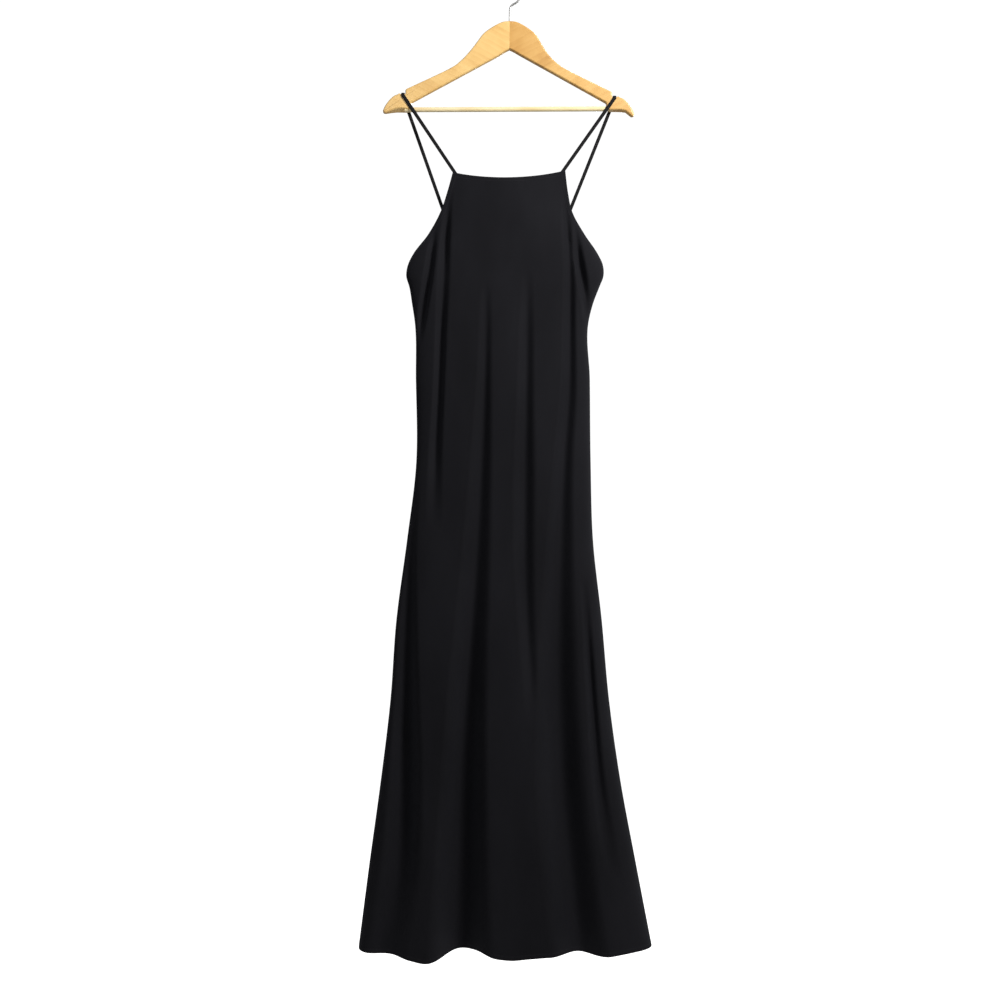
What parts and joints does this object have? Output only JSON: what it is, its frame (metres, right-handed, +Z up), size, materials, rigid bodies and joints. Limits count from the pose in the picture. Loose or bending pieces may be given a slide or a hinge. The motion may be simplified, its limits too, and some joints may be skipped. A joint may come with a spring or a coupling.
{
  "type": "slip dress on wooden hanger",
  "caption": "Long sleeveless slip dress with a high straight front neck, low back and thin straps, hanging flat on a plain wooden hanger with a round bar.",
  "frame": {"origin": "inside of the top of the hook, where a rail carries the hanger", "axes": "+Z up, the front of the dress faces -Y, +X to the right as seen from the front"},
  "size_m": [0.5182, 0.1152, 1.7032],
  "materials": {
    "crepe": "matte",
    "strap": "matte",
    "wood_light": "satin",
    "wood_warm": "satin",
    "dowel": "matte",
    "wire": "polished"
  },
  "bodies": {
    "root": {"front_panel": "crepe", "back_panel": "crepe", "strap_left": "strap", "strap_right": "strap", "hanger_half_left": "wood_light", "hanger_half_right": "wood_warm", "hanger_bar": "dowel", "hanger_hook": "wire"}
  },
  "joints": []
}
